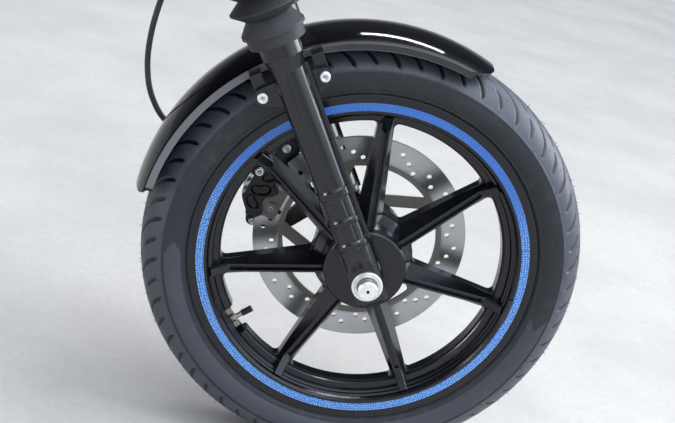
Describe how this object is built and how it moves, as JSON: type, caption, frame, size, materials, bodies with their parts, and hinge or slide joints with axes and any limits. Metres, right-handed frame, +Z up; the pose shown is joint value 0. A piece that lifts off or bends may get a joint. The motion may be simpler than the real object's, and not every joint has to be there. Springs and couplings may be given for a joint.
{
  "type": "motorcycle front fork and wheel assembly",
  "caption": "Front end of a cruiser motorcycle: cast wheel with tyre and drilled brake disc, raked telescopic fork with rubber gaiters, gloss mudguard and caliper, ready for its head tube",
  "frame": {"origin": "on the steering stem's line, at the shoulder where the lower steering bearing sits", "axes": "+X forward, +Y to the rider's left along the axle, +Z up, with the wheel standing on the ground at the real rake of 32 degrees"},
  "size_m": [0.7618, 0.279, 0.9612],
  "materials": {
    "tyre": "satin",
    "cast_black": "satin gloss black",
    "bearing_steel": "satin",
    "disc_steel": "brushed, drilled",
    "carrier_grey": "olive grey satin",
    "bolt_zinc": "bright zinc",
    "black_bolt": "black satin",
    "tape_blue": "reflective blue",
    "rubber_black": "matt",
    "fork_black": "satin black",
    "stanchion_chrome": "polished",
    "guard_black": "gloss black",
    "weight_black": "matt black",
    "pad": "matt"
  },
  "bodies": {
    "fork": {"axle": "bolt_zinc", "axle_nut": "bolt_zinc", "axle_spacer_right": "bearing_steel", "axle_spacer_left": "bearing_steel", "fork_lower_right": "fork_black", "fork_lower_left": "fork_black", "stanchion_right": "stanchion_chrome", "stanchion_left": "stanchion_chrome", "gaiter_right": "rubber_black", "gaiter_left": "rubber_black", "fork_cap_right": "black_bolt", "fork_cap_left": "black_bolt", "mudguard_stay_right": "fork_black", "mudguard_stay_left": "fork_black", "lower_yoke": "fork_black", "upper_yoke": "fork_black", "steering_stem": "bearing_steel", "stem_nut": "bolt_zinc", "mudguard": "guard_black", "mudguard_bolts": "bolt_zinc", "caliper_body": "cast_black", "brake_pads": "pad", "caliper_bracket": "cast_black", "caliper_bolts": "bolt_zinc", "caliper_sliders": "bolt_zinc", "brake_hose": "rubber_black", "hose_banjo": "bolt_zinc", "hose_block": "bolt_zinc"},
    "wheel": {"tyre": "tyre", "wheel_casting": "cast_black", "wheel_bearing_right": "bearing_steel", "wheel_bearing_left": "bearing_steel", "brake_disc": "disc_steel", "disc_carrier": "carrier_grey", "disc_bolts": "black_bolt", "rim_tape_right": "tape_blue", "rim_tape_left": "tape_blue", "valve_stem": "rubber_black", "balance_weight": "weight_black"}
  },
  "joints": [
    {"name": "wheel_spin", "type": "hinge", "parent": "fork", "child": "wheel", "pos_m": [0.33789, 0, -0.43506], "axis": [0, 1, 0], "continuous": true}
  ]
}
